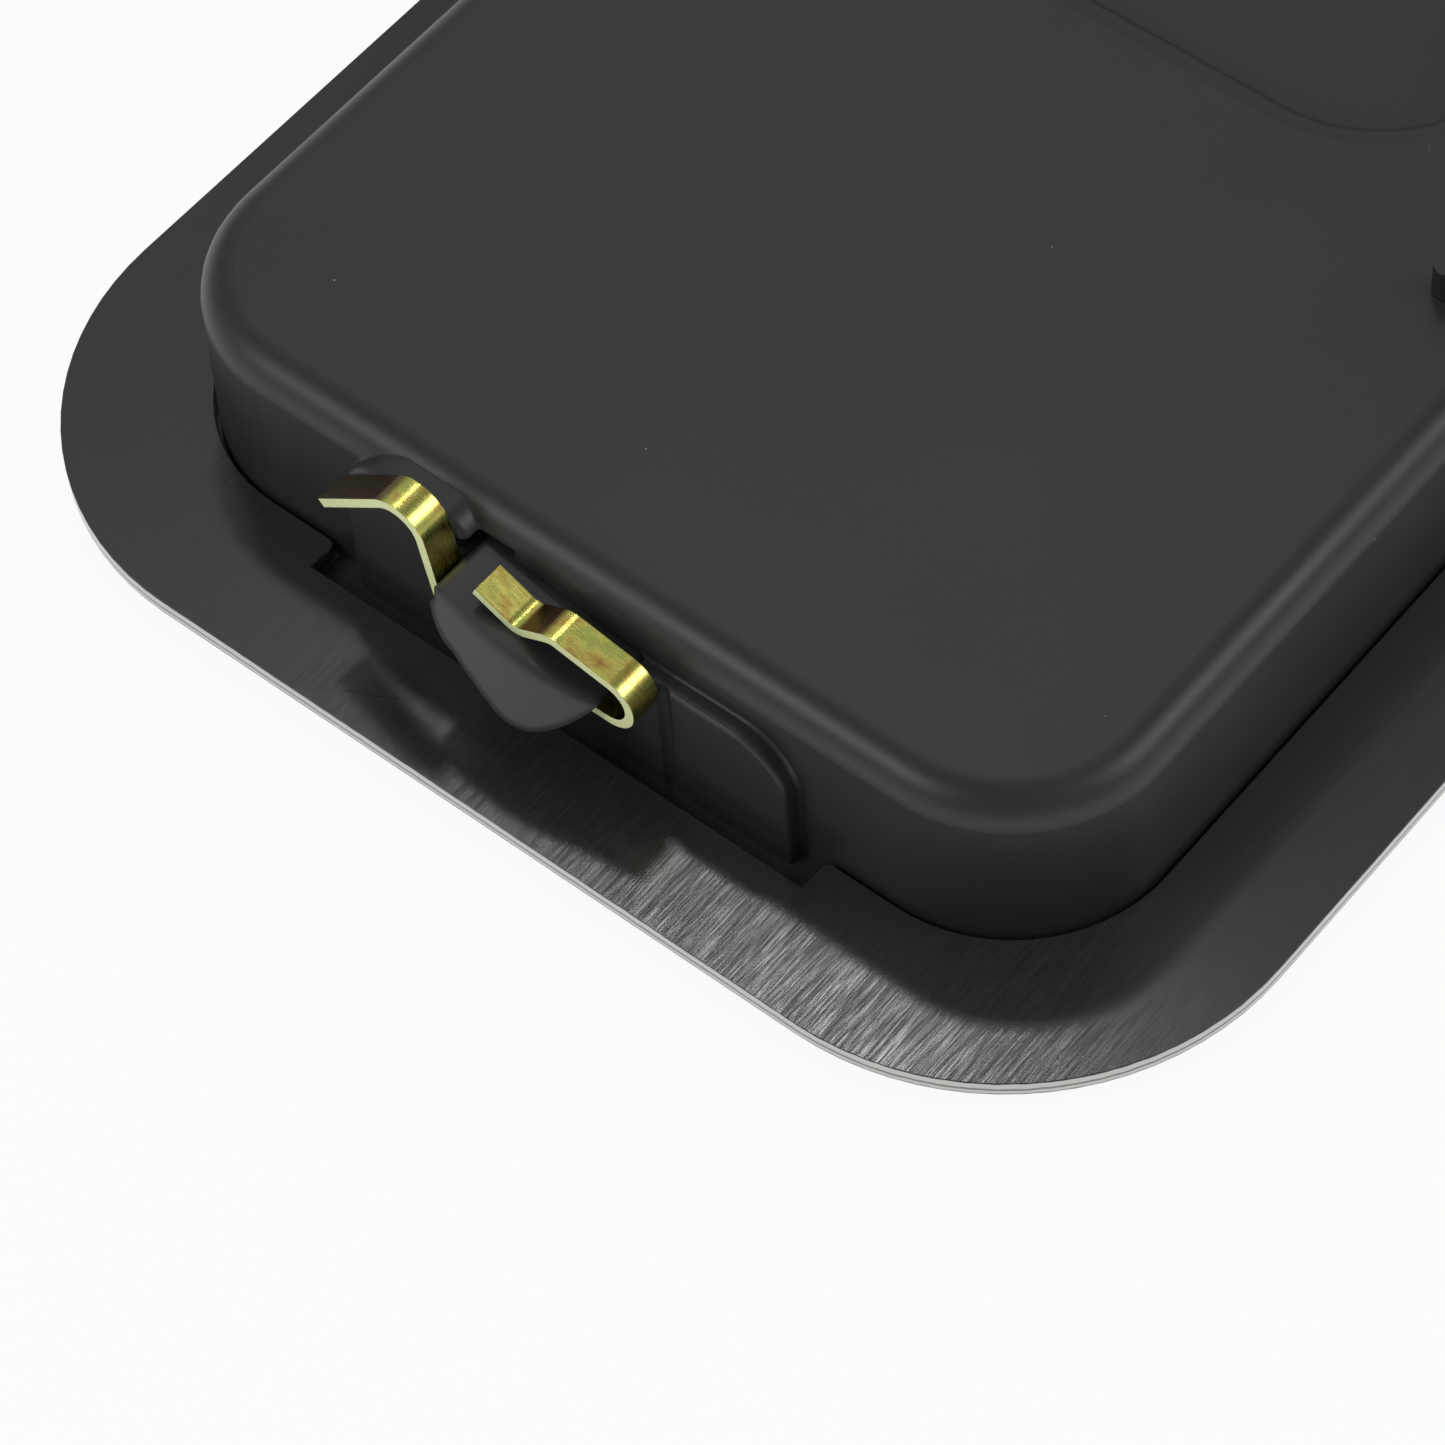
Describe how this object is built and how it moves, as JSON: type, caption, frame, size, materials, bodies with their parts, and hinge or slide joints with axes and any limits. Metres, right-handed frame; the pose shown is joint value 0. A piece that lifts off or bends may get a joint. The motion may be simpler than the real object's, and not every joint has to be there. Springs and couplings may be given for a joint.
{
  "type": "flush bolt latch unit",
  "caption": "Flush bolt latch with a black metal face plate, matt black rear housing, sloped latch nose and bent yellow-zinc strip clip.",
  "frame": {"origin": "middle of the front face of the dish's lip, lowest plane of the unit", "axes": "+Z to the rear of the unit, -Y the way the bolt is thrown, +X across"},
  "size_m": [0.11, 0.16, 0.0216],
  "materials": {
    "black_sheet": "brushed_satin",
    "black_moulding": "matte",
    "nose_moulding": "satin",
    "yellow_zinc": "satin",
    "steel": "satin",
    "brass": "satin",
    "grey_tape": "matte"
  },
  "bodies": {
    "frame_body": {"face_plate": "black_sheet", "lip_tape": "grey_tape", "rear_housing": "black_moulding", "front_dish": "black_moulding", "nose_guide": "black_moulding", "guide_screws": "steel", "spindle_bush": "brass", "wave_washer": "steel", "housing_screws": "steel", "pad_screws": "steel"},
    "lever_body": {"turn_lever": "nose_moulding", "lever_spindle": "steel", "lever_pin": "steel", "crank_plate": "steel", "crank_pin": "steel", "spindle_clip": "steel"},
    "bolt_body": {"latch_nose": "nose_moulding", "nose_clip": "yellow_zinc", "bolt_bar": "steel", "bar_rivets": "steel"}
  },
  "joints": [
    {"name": "lever_turn", "type": "hinge", "parent": "frame_body", "child": "lever_body", "pos_m": [0, -0.016, 0], "axis": [0, 0, -1], "range_deg": [0, 90]},
    {"name": "bolt_slide", "type": "slide", "parent": "frame_body", "child": "bolt_body", "axis": [0, -1, 0], "range_m": [0, 0.00651]}
  ],
  "couplings": [
    {"joint": "lever_turn", "follows": "bolt_slide", "rad_per_m": 241.47}
  ]
}
